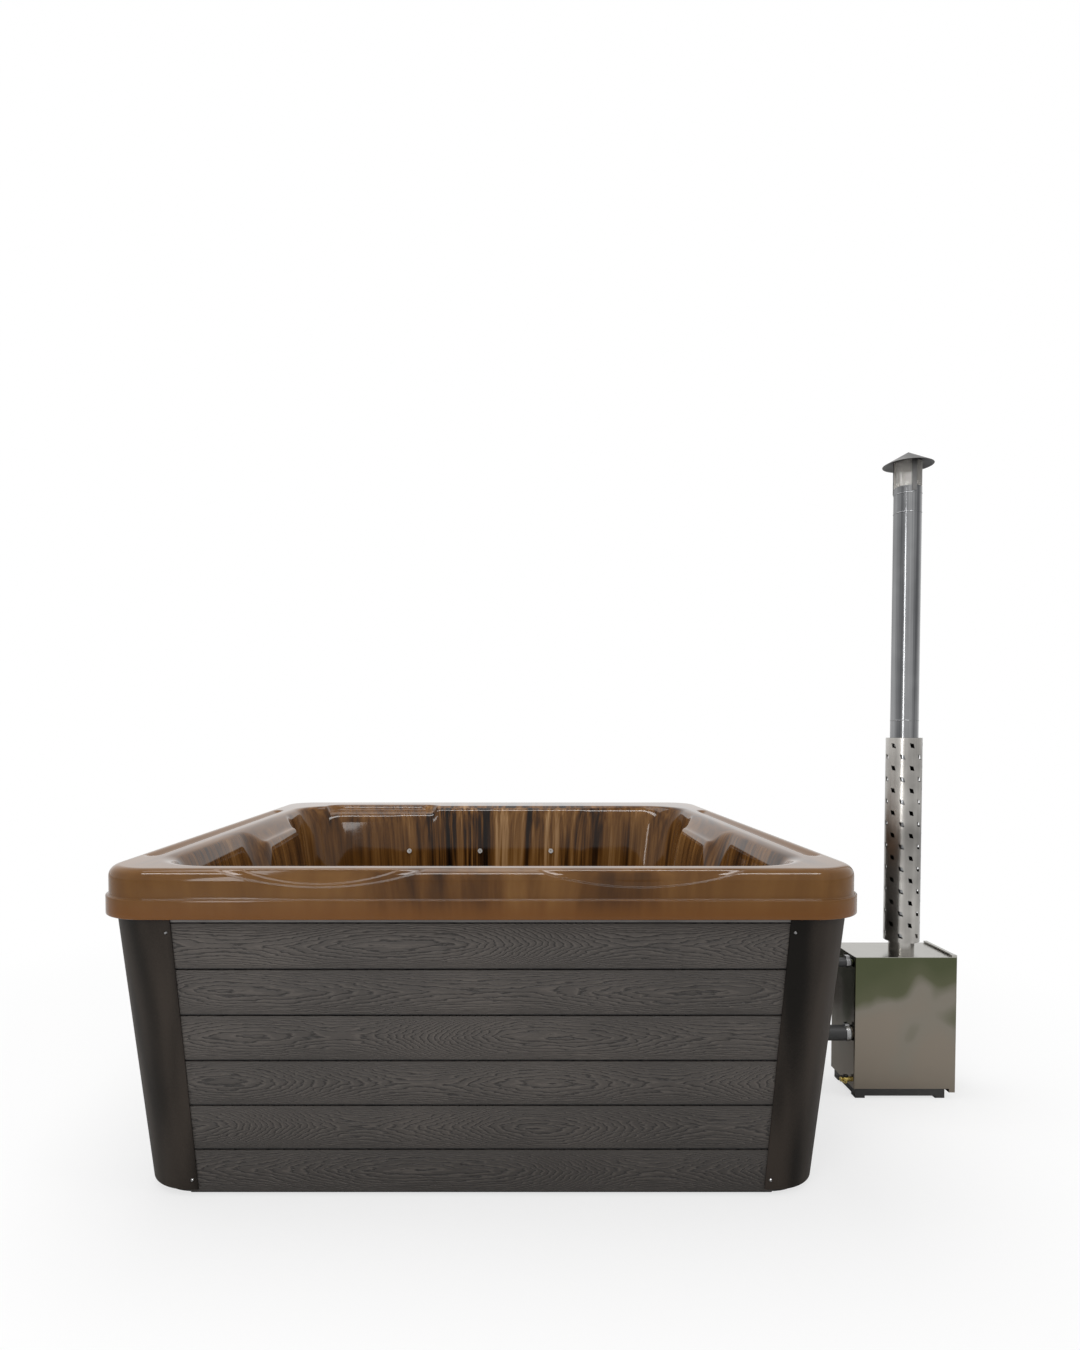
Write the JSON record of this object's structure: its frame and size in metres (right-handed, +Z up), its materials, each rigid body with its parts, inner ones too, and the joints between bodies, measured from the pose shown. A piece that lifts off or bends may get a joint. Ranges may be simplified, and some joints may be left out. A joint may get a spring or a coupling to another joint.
{
  "type": "hot tub",
  "caption": "Square wood-fired hot tub with a brown acrylic shell, dark board skirt, steel outside stove and tall shielded flue",
  "frame": {"origin": "Middle of the tub's base tray, on the ground.", "axes": "+X to the right of a person facing the tub (towards the stove), +Y away from that person, +Z up."},
  "size_m": [2.7216, 2.1, 2.293],
  "materials": {
    "acrylic": "gloss",
    "board": "matte, embossed grain",
    "corner_cover": "satin",
    "black_plastic": "matte",
    "frame_steel": "satin",
    "frame_wood": "sawn",
    "screw_steel": "satin",
    "chrome": "polished",
    "hose_rubber": "satin",
    "stove_steel": "satin",
    "flue_steel": "bright",
    "grate_iron": "rough",
    "black_paint": "satin",
    "seal_rope": "woven",
    "brass": "satin"
  },
  "bodies": {
    "tub": {"acrylic_shell": "acrylic", "top_strips": "board", "cover_screws": "screw_steel", "base_tray": "black_plastic", "base_frame": "frame_wood", "top_frame": "frame_wood", "side_studs": "frame_wood", "air_nozzles": "chrome", "floor_drain": "chrome", "return_fitting": "chrome", "suction_fitting": "chrome", "upper_hose": "hose_rubber", "lower_hose": "hose_rubber", "hose_clamps": "chrome", "stove_jacket": "stove_steel", "firebox": "stove_steel", "ash_pan": "frame_steel", "fire_grate": "grate_iron", "stove_stand": "black_paint", "hinge_pins": "screw_steel", "latch_keeper": "stove_steel", "drain_cock": "brass", "flue_stub": "flue_steel", "flue_pipe": "flue_steel", "heat_shield": "flue_steel", "spark_screen": "flue_steel", "rain_cap": "flue_steel", "front_board_1": "board", "front_board_2": "board", "front_board_3": "board", "front_board_4": "board", "front_board_5": "board", "front_board_6": "board", "right_board_1": "board", "right_board_2": "board", "right_board_3": "board", "right_board_4": "board", "right_board_5": "board", "right_board_6": "board", "back_board_1": "board", "back_board_2": "board", "back_board_3": "board", "back_board_4": "board", "back_board_5": "board", "back_board_6": "board", "left_board_1": "board", "left_board_2": "board", "left_board_3": "board", "left_board_4": "board", "left_board_5": "board", "left_board_6": "board", "front_right_corner_cover": "corner_cover", "back_right_corner_cover": "corner_cover", "back_left_corner_cover": "corner_cover", "front_left_corner_cover": "corner_cover"},
    "door": {"stove_door": "stove_steel", "door_seal": "seal_rope"},
    "latch": {"door_latch": "black_paint"},
    "slide": {"air_slide": "stove_steel"},
    "lever": {"drain_lever": "brass"}
  },
  "joints": [
    {"name": "door_hinge", "type": "hinge", "parent": "tub", "child": "door", "pos_m": [1.658, -0.345, 0.282], "axis": [0, 0, -1], "range_deg": [0, 110]},
    {"name": "latch_turn", "type": "hinge", "parent": "door", "child": "latch", "pos_m": [1.6586, -0.18, 0.282], "axis": [-1, 0, 0], "range_deg": [0, 90]},
    {"name": "air_slide", "type": "slide", "parent": "tub", "child": "slide", "axis": [0, 1, 0], "range_m": [0, 0.013]},
    {"name": "drain_turn", "type": "hinge", "parent": "tub", "child": "lever", "pos_m": [1.284, -0.328, 0.07], "axis": [0, 0, 1], "range_deg": [0, 90]}
  ]
}
